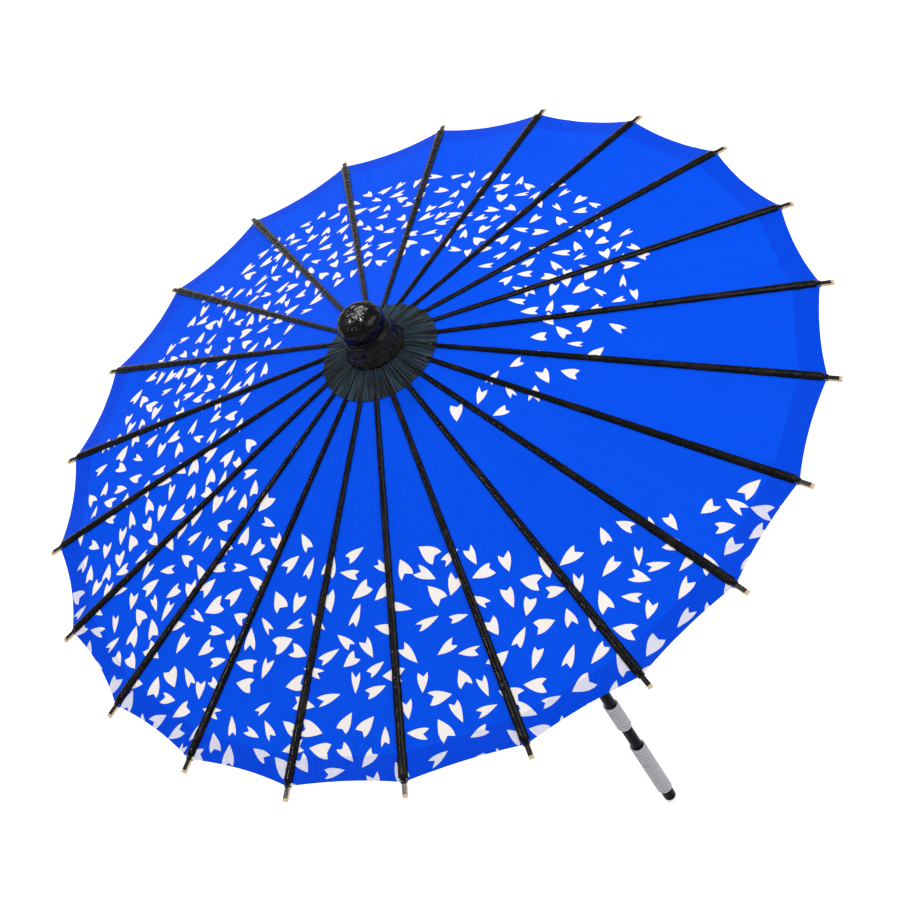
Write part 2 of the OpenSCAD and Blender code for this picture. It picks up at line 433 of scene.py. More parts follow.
@dataclass(frozen=True)
class BambooFinish:
    """Split bamboo, pale and fine-grained; a rib's outer face is lacquered up to its bare tip."""

    body: Colour = dye(226, 200, 158)
    grain: Colour = dye(178, 140, 92)
    lacquer: Colour = dye(16, 14, 16)
    tips: float = 1.0
    lacquered: bool = False

    def material(self, name: str) -> bpy.types.Material:
        """Makes the finish.

        Args:
            name: The material's name.

        Returns:
            The material.
        """
        make = Surface(name)
        place = make.place()
        cloud = make.noise(place, 60.0, 3.0)
        grain = make.noise(place, 1400.0, 4.0, 0.7)
        colour = make.mix(self.body, self.grain, 0.45 * make.rise(grain, 0.4, 0.7) + 0.3 * cloud)
        rough = 0.42 + 0.25 * grain
        if self.lacquered:
            facing = make.term("ShaderNodeTexCoord", output="Normal")
            up = make.split(facing)[2]
            edge = up + 0.12 * (make.noise(place, 300.0, 2.0) - 0.5)
            x, y, _ = make.split(place)
            off_axis = (x * x + y * y) ** 0.5
            bare = make.rise(off_axis, self.tips - 3.0 * MM, self.tips - 2.4 * MM)
            top = make.rise(edge, 0.45, 0.6) * (1.0 - bare)
            colour = make.mix(colour, self.lacquer, top)
            rough = rough * (1.0 - top) + 0.22 * top
        return make.finish(
            Base_Color=colour, Roughness=rough, Normal=make.bump(grain, 0.15 * MM, 0.6)
        )


@dataclass(frozen=True)
class TurnedWoodFinish:
    """Fine turned wood with growth rings seen from the side and tool marks."""

    body: Colour = dye(196, 160, 112)
    ring: Colour = dye(150, 108, 66)

    def material(self, name: str) -> bpy.types.Material:
        """Makes the finish.

        Args:
            name: The material's name.

        Returns:
            The material.
        """
        make = Surface(name)
        place = make.place()
        long_grain = make.noise(make.stretch(place, (1.0, 1.0, 0.06)), 900.0, 3.0, 0.6)
        marks = make.noise(make.stretch(place, (0.05, 0.05, 1.0)), 2600.0, 1.0)
        share = make.rise(long_grain, 0.35, 0.7)
        return make.finish(
            Base_Color=make.mix(self.body, self.ring, share),
            Roughness=0.46 + 0.2 * long_grain,
            Normal=make.bump(0.5 * long_grain + 0.5 * marks, 0.12 * MM, 0.7),
        )


@dataclass(frozen=True)
class WindingFinish:
    """Sealed cord, pale grey and slightly soiled, with painted shade in its grooves."""

    # The grip's radius, and the height where its highest groove ends
    outer: float
    top: float
    body: Colour = dye(186, 187, 185)
    soiled: Colour = dye(162, 164, 162)
    # The colour of the painted shade in the grooves
    groove_shade: Colour = dye(104, 104, 106)

    def material(self, name: str) -> bpy.types.Material:
        """Makes the finish.

        Args:
            name: The material's name.

        Returns:
            The material.
        """
        make = Surface(name)
        place = make.place()
        soil = make.noise(place, 120.0, 3.0)
        strands = make.noise(make.stretch(place, (1.0, 1.0, 3.0)), 500.0, 2.0)
        x, y, z = make.split(place)
        off_axis = (x * x + y * y) ** 0.5
        # Painted shade: darker where the cord dips into the grooves between its turns
        deep = 1.0 - make.rise(off_axis, self.outer - 0.9 * MM, self.outer - 0.2 * MM)
        # The last turn has no neighbour, so no painted shade goes on its upper side
        deep = deep * (1.0 - make.rise(z, self.top - 0.8 * MM, self.top + 0.2 * MM))
        colour = make.mix(self.body, self.soiled, 0.6 * make.rise(soil, 0.45, 0.75) + 0.15 * strands)
        return make.finish(
            Base_Color=make.mix(colour, self.groove_shade, deep),
            Roughness=0.42 + 0.2 * soil,
            Coat_Weight=0.2,
            Coat_Roughness=0.25,
            Normal=make.bump(strands, 0.1 * MM, 0.3),
        )


@dataclass(frozen=True)
class MetalFinish:
    """Drawn or rolled metal with fine scratches and a little tarnish."""

    body: Colour
    tarnish: Colour
    rough: float = 0.3

    def material(self, name: str) -> bpy.types.Material:
        """Makes the finish.

        Args:
            name: The material's name.

        Returns:
            The material.
        """
        make = Surface(name)
        place = make.place()
        cloud = make.noise(place, 260.0, 4.0, 0.6)
        lines = make.noise(make.stretch(place, (1.0, 1.0, 0.05)), 5200.0, 2.0)
        return make.finish(
            Base_Color=make.mix(self.body, self.tarnish, make.rise(cloud, 0.45, 0.75)),
            Metallic=1.0,
            Roughness=self.rough + 0.18 * cloud + 0.08 * lines,
            Normal=make.bump(lines, 0.05 * MM, 0.5),
        )


# ---------------------------------------------------------------- geometry recipes


class Recipe(Bench):
    """A Geometry Nodes tree with named inputs, run once for each piece it makes."""

    KINDS: ClassVar[dict[str, str]] = {
        "float": "NodeSocketFloat", "int": "NodeSocketInt", "material": "NodeSocketMaterial"
    }

    def __init__(self, name: str, inputs: dict[str, str]) -> None:
        """Starts the tree.

        Args:
            name: The tree's name.
            inputs: Each input's name and its kind, one of KINDS.
        """
        super().__init__(bpy.data.node_groups.new(name, "GeometryNodeTree"))
        faces = self.tree.interface
        faces.new_socket("Geometry", in_out="OUTPUT", socket_type="NodeSocketGeometry")
        self.sockets = {
            label: faces.new_socket(label, in_out="INPUT", socket_type=self.KINDS[kind])
            for label, kind in {**inputs, "Finish": "material"}.items()
        }
        self.entry = self.node("NodeGroupInput")

    def size(self, label: str) -> Term:
        """One of the tree's named inputs."""
        return Term(self, self.entry.outputs[label])

    def vector(self, x: Any = 0.0, y: Any = 0.0, z: Any = 0.0) -> Term:
        """Joins three values into a vector."""
        return self.term("ShaderNodeCombineXYZ", None, {0: x, 1: y, 2: z})

    def close(self, geometry: Any) -> None:
        """Ends the tree with smooth faces, real geometry and the finish.

        Args:
            geometry: What the tree has made.
        """
        shaded = self.term("GeometryNodeSetShadeSmooth", None, {0: geometry})
        real = self.term("GeometryNodeRealizeInstances", None, {0: shaded})
        dressed = self.term("GeometryNodeSetMaterial", None, {0: real, "Material": self.size("Finish")})
        self.node("NodeGroupOutput", None, {0: dressed})

    def run(self, name: str, values: dict[str, Any]) -> bpy.types.Object:
        """Makes one piece.

        Args:
            name: The piece's name.
            values: A value for each of the tree's inputs.

        Returns:
            An object with a plain mesh and no modifier.
        """
        piece = bpy.data.objects.new(name, bpy.data.meshes.new(name))
        bpy.context.scene.collection.objects.link(piece)
        modifier = piece.modifiers.new("recipe", "NODES")
        modifier.node_group = self.tree
        for label, value in values.items():
            modifier[self.sockets[label].identifier] = value
        shown = piece.evaluated_get(bpy.context.evaluated_depsgraph_get())
        mesh = bpy.data.meshes.new_from_object(shown)
        piece.modifiers.clear()
        piece.data = mesh
        mesh.name = name
        return piece


# ---------------------------------------------------------------- skeleton


@dataclass
class Skeleton:
    """Where the ribs are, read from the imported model."""

    rib_tip_drop: float = 1.3 * MM
    count: int = field(init=False)
    hinge_r: float = field(init=False)
    hub_z: float = field(init=False)
    slope: float = field(init=False)
    rib_len: float = field(init=False)

    def __post_init__(self) -> None:
        """Works the sizes out of the joints and of the first rib's box."""
        joints = {joint["name"]: joint for joint in frame["joints"]}
        self.count = sum(name.startswith("rib_") for name in frame["nodes"])
        self.hinge_r, _, self.hub_z = joints["fold"]["pos_m"]
        pin = joints["strut_hinge_01"]["pos_m"]
        self.slope = math.atan2(self.hub_z - pin[2], pin[0] - self.hinge_r)
        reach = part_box("rib_01")[1].x - self.hinge_r - self.rib_tip_drop * math.sin(self.slope)
        self.rib_len = reach / math.cos(self.slope)

    @property
    def pitch(self) -> float:
        """The angle between two ribs, seen along the shaft."""
        return 2 * math.pi / self.count

    @property
    def panel_slope(self) -> float:
        """How far a panel slopes down along its middle."""
        return math.atan(math.tan(self.slope) / math.cos(self.pitch / 2))

    @property
    def half_angle(self) -> float:
        """The angle at the apex between a panel's middle and its rib, in the panel's plane."""
        return math.atan(math.tan(self.pitch / 2) * math.cos(self.panel_slope))

    @property
    def apex_z(self) -> float:
        """The height where the ribs' centre lines would meet."""
        return self.hub_z + self.hinge_r * math.tan(self.slope)

    def names(self, stem: str) -> list[str]:
        """The numbered names of the ribs or struts."""
        return [f"{stem}_{index + 1:02d}" for index in range(self.count)]

    def rib_half_width(self, radius: float) -> float:
        """Half a rib's width, which grows from the hinge to the tip.

        Args:
            radius: Distance from the shaft's axis.

        Returns:
            Half the width there.
        """
        inner, outer = 1.5 * MM, 3.1 * MM
        tip = self.hinge_r + self.rib_len * math.cos(self.slope)
        return inner + (outer - inner) * (radius - self.hinge_r) / (tip - self.hinge_r)

    def on_rib(self, index: int) -> Matrix:
        """Puts a piece that is drawn along +X from the hinge, top up, onto a rib.

        Args:
            index: The rib, from 0.

        Returns:
            The matrix to the rib's place.
        """
        turn = Matrix.Rotation(index * self.pitch, 4, "Z")
        drop = Matrix.Rotation(self.slope, 4, "Y")
        return turn @ Matrix.Translation((self.hinge_r, 0, self.hub_z)) @ drop

    def on_panel(self, gore: int) -> Matrix:
        """Puts a panel that is drawn from the apex along +X in its place.

        Args:
            gore: The panel's number, from 0.

        Returns:
            The matrix to the panel's place.
        """
        turn = Matrix.Rotation((gore + 0.5) * self.pitch, 4, "Z")
        drop = Matrix.Rotation(self.panel_slope, 4, "Y")
        return turn @ Matrix.Translation((0, 0, self.apex_z)) @ drop


# ---------------------------------------------------------------- petals


@dataclass
class PetalPrint:
    """White petals scattered in a swirl that widens as it goes round, until it fills the rim."""

    # Least distances between two middles, small petals and full ones, and between any other points
    clearances: Point2 = (15.4 * MM, 18.2 * MM)
    margin: float = 9.4 * MM
    cell: float = 30 * MM
    reach: Point2 = (0.1, 0.43)
    lengths: Point2 = (17.5 * MM, 23.0 * MM)
    aspects: Point2 = (0.34, 0.62)
    starting_share: float = 0.78
    growth: Point2 = (0.45, 0.82)
    tries: int = 26000
    seed: int = 22
    # Turns from the swirl's start, then its inner and outer distance from the apex
    swirl: tuple[tuple[float, float, float], ...] = (
        (0.00, 0.106, 0.122), (0.05, 0.112, 0.158), (0.12, 0.140, 0.212), (0.20, 0.140, 0.268),
        (0.32, 0.148, 0.292), (0.45, 0.150, 0.334), (0.58, 0.146, 0.356), (0.68, 0.158, 0.402),
        (0.80, 0.190, 0.430), (0.92, 0.216, 0.430), (0.97, 0.262, 0.430), (1.03, 0.312, 0.430),
        (1.06, 0.372, 0.430),
    )
    start_turn: float = 0.795

    def band(self, turn: float) -> Point2:
        """The swirl's edges.

        Args:
            turn: Turns from the swirl's start.

        Returns:
            Its inner and outer distance from the apex; past its end no distance lies between them.
        """
        for (t0, in0, out0), (t1, in1, out1) in zip(self.swirl, self.swirl[1:]):
            if t0 <= turn <= t1:
                share = (turn - t0) / (t1 - t0)
                return in0 + (in1 - in0) * share, out0 + (out1 - out0) * share
        return 1.0, 0.0

    def outline(self, rng: random.Random, size: float) -> list[Point2]:
        """One petal's outline round its own middle, its pointed end towards +X.

        Args:
            rng: The source of its small differences.
            size: Its size against a full petal.

        Returns:
            The outline's points, anticlockwise.
        """
        length = rng.uniform(*self.lengths) * size
        width = length * rng.uniform(*self.aspects) * 0.6
        steps = 7
        sides: list[list[Point2]] = []
        for sign in (-1, 1):
            fat = width * rng.uniform(0.88, 1.1)
            horn = rng.uniform(0.42, 0.52)
            side = []
            for step in range(steps + 1):
                t = step / steps
                a, b, c, d = (1 - t) ** 3, 3 * t * (1 - t) ** 2, 3 * t * t * (1 - t), t**3
                x = length * (0.5 * a + 0.2 * b - 0.16 * c - horn * d)
                y = fat * (0.58 * b + 1.18 * c + 0.84 * d)
                side.append((x, sign * y))
            sides.append(side)
        right, left = sides
        notch = (-length * rng.uniform(0.2, 0.34), width * rng.uniform(-0.2, 0.2))
        # From the point down the left side, across the notch and back up the right one
        return left + [notch] + right[:0:-1]

    def spine(self, distance: float, angle: float, lean: float, size: float) -> list[Point2]:
        """The points by which a petal keeps clear of the others.

        Args:
            distance: Its middle's distance from the apex.
            angle: Its middle's unrolled angle.
            lean: How far it is turned from pointing away from the apex.
            size: Its size against a full petal.

        Returns:
            Its middle, its pointed end and its horns' end, in the unrolled plane.
        """
        x, y = distance * math.cos(angle), distance * math.sin(angle)
        turned = angle + lean
        arm = 0.34 * size * self.lengths[1]
        return [(x + arm * k * math.cos(turned), y + arm * k * math.sin(turned)) for k in (0, 1, -1)]

    def scatter(self, skeleton: Skeleton, rim: float) -> list[tuple[float, float, list[Point2]]]:
        """Places the petals in the plane that the whole canopy unrolls into.

        Args:
            skeleton: The ribs.
            rim: The rim's distance from the apex.

        Returns:
            For each petal its distance from the apex, its unrolled angle and its outline.
        """
        rng = random.Random(self.seed)
        whole = 2 * skeleton.half_angle * skeleton.count
        placed: dict[tuple[int, int], list[list[Point2]]] = {}
        petals = []
        for _ in range(self.tries):
            turn = rng.uniform(0.0, self.swirl[-1][0])
            inner, outer = self.band(turn)
            distance = math.sqrt(rng.uniform(self.reach[0]**2, self.reach[1]**2))
            if not inner < distance < min(outer, rim + 6 * MM):
                continue
            angle = ((self.start_turn + turn) % 1.0) * whole
            lean = rng.uniform(0, 2 * math.pi)
            cos, sin = math.cos(lean), math.sin(lean)
            grown = smooth(*self.growth, turn)
            size = self.starting_share + (1 - self.starting_share) * grown
            spine = self.spine(distance, angle, lean, size)
            gap = self.clearances[0] + (self.clearances[1] - self.clearances[0]) * grown
            # The swirl is thin where it starts
            gap *= rng.uniform(0.96, 1.12) * (1.35 - 0.35 * smooth(0.08, 0.2, turn))
            column, row = (int(part // self.cell) for part in spine[0])
            cells = [(column + i, row + j) for i in (-1, 0, 1) for j in (-1, 0, 1)]
            near = [other for cell in cells for other in placed.get(cell, [])]
            if any(math.dist(spine[0], other[0]) < gap for other in near):
                continue
            if any(math.dist(a, b) < self.margin * size for other in near for a in spine for b in other):
                continue
            placed.setdefault((column, row), []).append(spine)
            outline = [(x * cos - y * sin, x * sin + y * cos) for x, y in self.outline(rng, size)]
            petals.append((distance, angle, outline))
        return petals

    def on_gore(
        self, petals: list[tuple[float, float, list[Point2]]], skeleton: Skeleton, gore: int
    ) -> list[list[Point2]]:
        """The outlines of the petals that reach onto one panel, in that panel's plane.

        Args:
            petals: What scatter() returned.
            skeleton: The ribs.
            gore: The panel's number.

        Returns:
            Their outlines, from the apex along the panel's middle and across it.
        """
        whole = 2 * skeleton.half_angle * skeleton.count
        middle = (2 * gore + 1) * skeleton.half_angle
        found = []
        for distance, angle, outline in petals:
            off = (angle - middle + whole / 2) % whole - whole / 2
            if abs(off) > skeleton.half_angle + 0.17:
                continue
            cos, sin = math.cos(off), math.sin(off)
            # The outline leans with the unrolled plane, so it turns with its panel
            moved = [(distance + x, y) for x, y in outline]
            found.append([(x * cos - y * sin, x * sin + y * cos) for x, y in moved])
        return found


# ---------------------------------------------------------------- paper


@dataclass
class PaperSheet:
    """Paper between the ribs, made as two half panels to each gap."""

    skeleton: Skeleton
    stem: str
    node: str
    slot: str
    inner: float
    outer: float
    rise: float
    thickness: float
    grid: float = 8.0 * MM
    strips: int = 6
    scallop: float = 0.0
    sag: float = 0.0
    keep: float = 0.02
    tuck: float = math.radians(6.0)
    seed: int = 5

    def edge(self, along: float) -> float:
        """How far across a panel its edge lies, just inside the rib's side.

        Args:
            along: Distance from the apex.

        Returns:
            The distance from the panel's middle.
        """
        skeleton = self.skeleton
        radius = along * math.cos(skeleton.panel_slope)
        inside = skeleton.rib_half_width(radius) - 0.15 * MM
        return along * math.tan(skeleton.half_angle) - inside

    def rim(self, gore: int, share: float) -> float:
        """How far from the apex the rim lies, at a share from a panel's middle to its rib."""
        own = 1 + 0.35 * noise.noise(Vector((gore * 3.7, self.seed, 0.5)))
        return self.outer - self.scallop * own * (1 - share * share)

    def height(self, gore: int, along: float, share: float) -> float:
        """How far above the ribs' centre lines the paper's top lies.

        Args:
            gore: The panel's number.
            along: Distance from the apex.
            share: From 0 at the panel's middle to 1 at its rib.

        Returns:
            The height, square to the panel's plane.
        """
        reach = along / self.outer
        own = 1 + 0.3 * noise.noise(Vector((gore * 2.3, self.seed, 7.1)))
        dip = self.sag * own * reach**1.4 * (1 - share**2)
        return self.rise + self.thickness - dip

    def ripple(self, gore: int, along: float, across: float, share: float) -> float:
        """Small waves in the paper, none at the rib.

        Args:
            gore: The panel's number.
            along: Distance from the apex.
            across: Distance from the panel's middle, signed.
            share: From 0 at the panel's middle to 1 at its rib.

        Returns:
            The wave's height.
        """
        spot = Vector((along * 22, across * 70 + gore * 9.1, self.seed))
        return 0.35 * MM * noise.noise(spot) * (1 - share**2) * smooth(0.05, 0.2, along)

    def half_domain(self, gore: int, side: Side) -> tuple[list[Point2], list[Point2]]:
        """A half panel's outline and the loose points inside it.

        Args:
            gore: The panel's number.
            side: Which half; LEFT is the half at the lower-numbered rib.

        Returns:
            The outline, and the points inside.
        """
        rows = max(2, round((self.outer - self.inner) / self.grid))
        # The first rib of a gap lies at the panel's negative side
        sign = -1 if side is Side.LEFT else 1
        table = []
        for row in range(rows + 1):
            line = []
            for step in range(self.strips + 1):
                share = step / self.strips
                far = self.rim(gore, share)
                along = self.inner + (far - self.inner) * row / rows
                line.append((along, sign * share * self.edge(along)))
            table.append(line)
        middle = [line[0] for line in table]
        rib_side = [line[-1] for line in table]
        outline = middle + table[-1][1:-1] + rib_side[::-1] + table[0][-2:0:-1]
        inside = [spot for line in table[1:-1] for spot in line[1:-1]]
        if sign < 0:
            outline.reverse()
        return outline, inside

    def cut(self, gore: int, side: Side, prints: list[list[Point2]]) -> tuple[list, list, list]:
        """Divides a half panel into triangles that follow the outlines printed on it.

        Args:
            gore: The panel's number.
            side: Which half.
            prints: Outlines in the panel's plane.

        Returns:
            The points, the triangles, and for each triangle whether it is printed.
        """
        outline, inside = self.half_domain(gore, side)
        sign = -1 if side is Side.LEFT else 1
        reach = 14 * MM
        near = [
            shape for shape in prints
            if any(sign * y > -reach and self.inner - reach < x < self.outer + reach for x, y in shape)
        ]
        spots = [Vector(spot) for spot in outline + inside]
        faces = [list(range(len(outline)))]
        for shape in near:
            faces.append(list(range(len(spots), len(spots) + len(shape))))
            spots.extend(Vector(spot) for spot in shape)
        found = delaunay_2d_cdt(spots, [], faces, 1, 1e-6)
        points, triangles, origins = found[0], found[2], found[5]
        kept = [(face, len(origin) > 1) for face, origin in zip(triangles, origins) if 0 in origin]
        return points, [face for face, _ in kept], [printed for _, printed in kept]

    def half(
        self, gore: int, side: Side, prints: list[list[Point2]], finishes: list[bpy.types.Material]
    ) -> bpy.types.Object:
        """Makes one half panel as a thin sheet.

        Args:
            gore: The panel's number.
            side: Which half.
            prints: Outlines that take the second finish.
            finishes: The sheet's finish, and the print's.

        Returns:
            The new piece.
        """
        skeleton = self.skeleton
        points, triangles, printed = self.cut(gore, side, prints)
        used = sorted({index for face in triangles for index in face})
        order = {old: new for new, old in enumerate(used)}
        place = skeleton.on_panel(gore)
        corners = []
        for old in used:
            along, across = points[old]
            share = min(abs(across) / max(self.edge(along), 1e-6), 1.0)
            up = self.height(gore, along, share) + self.ripple(gore, along, across, share)
            corners.append(place @ Vector((along, across, up)))
        rib = gore if side is Side.LEFT else (gore + 1) % skeleton.count
        name = f"{self.stem}_{rib + 1:02d}_{side.name.lower()}"
        mesh = bpy.data.meshes.new(name)
        mesh.from_pydata(corners, [], [[order[index] for index in face] for face in triangles])
        for finish in finishes:
            mesh.materials.append(finish)
        mesh.polygons.foreach_set("material_index", [int(mark) for mark in printed])
        mesh.polygons.foreach_set("use_smooth", [True] * len(printed))
        panel, sheet = mesh.uv_layers.new(name="panel"), mesh.uv_layers.new(name="sheet")
        for loop in mesh.loops:
            along, across = points[used[loop.vertex_index]]
            panel.data[loop.index].uv = (along, across)
            sheet.data[loop.index].uv = (along, across + 0.2 * gore)
        mesh.update()
        piece = bpy.data.objects.new(name, mesh)
        bpy.context.scene.collection.objects.link(piece)
        solid = piece.modifiers.new("thickness", "SOLIDIFY")
        solid.thickness = self.thickness
        solid.offset = -1
        # Large faces set the normals, so that the thin rim doesn't shade the sheet's edge
        even = piece.modifiers.new("even", "WEIGHTED_NORMAL")
        even.mode = "FACE_AREA"
        even.weight = 100
        return piece

    def hang(self, piece: bpy.types.Object, gore: int, side: Side) -> None:
        """Fixes a half panel to its rib and hides the imported node that it stands for. It also works out a
        tuck axis and the half panel's area, which nothing uses.

        Args:
            piece: The half panel.
            gore: The panel's number.
            side: Which half.
        """
        skeleton = self.skeleton
        place = skeleton.on_panel(gore)
        sign = -1 if side is Side.LEFT else 1
        ends = [
            place @ Vector((along, sign * self.edge(along), self.rise + self.thickness))
            for along in (self.inner, self.outer)
        ]
        line = (ends[1] - ends[0]).normalized()
        normal = (place.to_3x3() @ Vector((0, 0, 1))).normalized()
        across = line.cross(normal).normalized() * -sign
        inward = (place.to_3x3() @ Vector((0, -sign, 0))).normalized()
        if across.dot(inward) < 0:
            across.negate()
        axis = across * math.cos(self.tuck) + normal * math.sin(self.tuck)
        rib = gore if side is Side.LEFT else (gore + 1) % skeleton.count
        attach(piece, f"rib_{rib + 1:02d}")
        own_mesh(piece)
        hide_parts(self.node)
        wide, length = self.edge(self.outer), self.outer - self.inner
        area = length * (self.edge(self.inner) + wide) / 2

    def build(
        self, finishes: list[bpy.types.Material], prints: Callable[[int], list[list[Point2]]]
    ) -> None:
        """Makes and fixes every half panel.

        Args:
            finishes: The sheet's finish, and the print's if it has one.
            prints: Gives the outlines printed on a panel.
        """
        count = 0
        for gore in range(self.skeleton.count):
            outlines = prints(gore)
            for side in Side:
                piece = self.half(gore, side, outlines, finishes)
                self.hang(piece, gore, side)
                count += len(piece.data.polygons)
        LOG.info("%s: %d half panels, %d faces", self.stem, 2 * self.skeleton.count, count)


@dataclass
class CrownPaper(PaperSheet):
    """The dark paper round the head, which lies over the ribs and dips between them."""

    over_rib: float = 3.25 * MM
    dip: float = 1.0 * MM

    def edge(self, along: float) -> float:
        """The crown paper meets over the rib's middle."""
        return along * math.tan(self.skeleton.half_angle)

    def height(self, gore: int, along: float, share: float) -> float:
        """High over the rib, lower between the ribs."""
        over = smooth(0.25, 0.7, share)
        return self.over_rib - self.dip * (1 - over)

    def ripple(self, gore: int, along: float, across: float, share: float) -> float:
        """Pleats that run towards the middle, none at the rib.

        Args:
            gore: The panel's number.
            along: Distance from the apex.
            across: Distance from the panel's middle, signed.
            share: From 0 at the panel's middle to 1 at its rib.

        Returns:
            The pleat's height.
        """
        turn = across / along * 62
        wave = noise.noise(Vector((along * 16, turn + gore * 5.3, self.seed)))
        return 0.75 * MM * wave * (1 - share**2) ** 2


# ---------------------------------------------------------------- ribs


@dataclass
class RibDressing:
    """What lies on each rib: the lacquered ridge, its crest on the crown paper and the binding."""

    skeleton: Skeleton
    ridge_from: float = 36.0 * MM
    ridge_to: float = 398.0 * MM
    ridge_widths: Point2 = (4.8 * MM, 9.0 * MM)
    ridge_bases: Point2 = (2.1 * MM, 1.3 * MM)
    ridge_height: float = 0.75
    ridge_lump: float = 0.8 * MM
    crest_from: float = 11.0 * MM
    crest_to: float = 44.5 * MM
    crest_widths: Point2 = (1.6 * MM, 2.3 * MM)
    crest_bases: Point2 = (2.75 * MM, 2.75 * MM)
    crest_height: float = 0.9
    crest_lump: float = 0.7 * MM
    binding_at: float = 397.5 * MM
    binding_turns: int = 5
    binding_room: float = 0.25 * MM
    binding_half_height: float = 1.95 * MM
    binding_up: float = 0.15 * MM
    thread: float = 0.45 * MM

    def ridge_recipe(self) -> Recipe:
        """A lumpy half-round bead along +X, from one distance to another.

        Returns:
            The recipe.
        """
        make = Recipe("lacquer_bead", {
            "From": "float", "To": "float", "Start width": "float", "End width": "float",
            "Height share": "float", "Start base": "float", "End base": "float", "Lump": "float",
            "Seed": "float",
        })
        start = make.vector(make.size("From"), 0.0, make.size("Start base"))
        end = make.vector(make.size("To"), 0.0, make.size("End base"))
        line = make.term("GeometryNodeCurvePrimitiveLine", None, {"Start": start, "End": end})
        length = make.size("To") - make.size("From")
        path = make.term(
            "GeometryNodeResampleCurve", None, {"Curve": line, "Count": length / 0.0025 + 2.0}
        )
        share = make.term("GeometryNodeSplineParameter", None, None, "Factor")
        grow = make.size("Start width") + (make.size("End width") - make.size("Start width")) * share
        spot = make.vector(share * length * 110.0, make.size("Seed") * 7.3)
        swell = make.term("ShaderNodeTexNoise", None, {"Vector": spot, "Scale": 1.0, "Detail": 2.0})
        ends = make.term(
            "ShaderNodeMapRange", {"interpolation_type": "SMOOTHSTEP"},
            {"Value": share * (1.0 - share) * length, "From Min": 0.0, "From Max": 0.0025},
        )
        radius = grow * 0.5 * (0.86 + 0.28 * swell) * (0.35 + 0.65 * ends)
        arc = make.term(
            "GeometryNodeCurveArc", {"mode": "RADIUS"},
            {"Resolution": 9, "Radius": 1.0, "Start Angle": math.pi, "Sweep Angle": math.pi},
        )
        ring = make.term("GeometryNodeSetSplineCyclic", None, {0: arc, "Cyclic": True})
        flat = make.vector(1.0, make.size("Height share"), 1.0)
        profile = make.term("GeometryNodeTransform", None, {0: ring, "Scale": flat})
        bead = make.node(
            "GeometryNodeCurveToMesh", None,
            {"Curve": path, "Profile Curve": profile, "Scale": radius, "Fill Caps": True},
        )
        where = make.term("GeometryNodeInputPosition")
        own = make.vector(0.0, 0.0, make.size("Seed"))
        offset = make.term("ShaderNodeVectorMath", {"operation": "ADD"}, {0: where, 1: own})
        rough = make.term("ShaderNodeTexNoise", None, {"Vector": offset, "Scale": 260.0, "Detail": 2.0})
        normal = make.term("GeometryNodeInputNormal")
        push = make.term(
            "ShaderNodeVectorMath", {"operation": "SCALE"},
            {0: normal, "Scale": (rough - 0.5) * make.size("Lump")},
        )
        lumpy = make.term("GeometryNodeSetPosition", None, {0: bead.outputs[0], "Offset": push})
        make.close(lumpy)
        return make

    def binding_recipe(self) -> Recipe:
        """Turns of thread side by side round a bar that runs along +X.

        Returns:
            The recipe.
        """
        make = Recipe("thread_binding", {
            "Middle": "float", "Turns": "int", "Thread": "float", "Half width": "float",
            "Half height": "float", "Up": "float",
        })
        ring = make.term(
            "GeometryNodeCurvePrimitiveCircle", {"mode": "RADIUS"}, {"Resolution": 20, "Radius": 1.0}
        )
        upright = make.term("GeometryNodeTransform", None, {0: ring, "Rotation": (0.0, math.pi / 2, 0.0)})
        shaped = make.term(
            "GeometryNodeTransform", None,
            {0: upright, "Scale": make.vector(1.0, make.size("Half width"), make.size("Half height"))},
        )
        section = make.term(
            "GeometryNodeCurvePrimitiveCircle", {"mode": "RADIUS"},
            {"Resolution": 8, "Radius": make.size("Thread")},
        )
        turn = make.term("GeometryNodeCurveToMesh", None, {"Curve": shaped, "Profile Curve": section})
        span = make.size("Turns") * make.size("Thread") * 1.9
        places = make.term(
            "GeometryNodeMeshLine", {"mode": "END_POINTS"},
            {
                "Count": make.size("Turns"),
                "Start Location": make.vector(make.size("Middle") - span / 2.0, 0.0, make.size("Up")),
                "Offset": make.vector(make.size("Middle") + span / 2.0, 0.0, make.size("Up")),
            },
        )
        tilt = make.term(
            "FunctionNodeRandomValue", {"data_type": "FLOAT_VECTOR"},
            {0: (-0.05, -0.14, -0.12), 1: (0.05, 0.14, 0.12), "Seed": 4}
        )
        wound = make.term(
            "GeometryNodeInstanceOnPoints", None, {"Points": places, "Instance": turn, "Rotation": tilt}
        )
        make.close(wound)
        return make

    def build(self, lacquer: bpy.types.Material) -> None:
        """Makes the three pieces on each rib.

        Args:
            lacquer: The finish.
        """
        bead, binding = self.ridge_recipe(), self.binding_recipe()
        rim_r = self.skeleton.hinge_r + self.binding_at * math.cos(self.skeleton.slope)
        for index, rib in enumerate(self.skeleton.names("rib")):
            number = rib[-2:]
            ridge = bead.run(f"ridge_{number}", {
                "From": self.ridge_from, "To": self.ridge_to, "Start width": self.ridge_widths[0],
                "End width": self.ridge_widths[1], "Height share": self.ridge_height,
                "Start base": self.ridge_bases[0], "End base": self.ridge_bases[1],
                "Lump": self.ridge_lump, "Seed": float(index), "Finish": lacquer,
            })
            crest = bead.run(f"crest_{number}", {
                "From": self.crest_from, "To": self.crest_to, "Start width": self.crest_widths[0],
                "End width": self.crest_widths[1], "Height share": self.crest_height,
                "Start base": self.crest_bases[0], "End base": self.crest_bases[1],
                "Lump": self.crest_lump, "Seed": float(index) + 40.5, "Finish": lacquer,
            })
            knot = binding.run(f"binding_{number}", {
                "Middle": self.binding_at, "Turns": self.binding_turns, "Thread": self.thread,
                "Half width": self.skeleton.rib_half_width(rim_r) + self.binding_room,
                "Half height": self.binding_half_height, "Up": self.binding_up, "Finish": lacquer,
            })
            for piece in (ridge, crest, knot):
                piece.data.transform(self.skeleton.on_rib(index))
                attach(piece, rib)
        LOG.info("ribs: %d ridges, crests and bindings", self.skeleton.count)


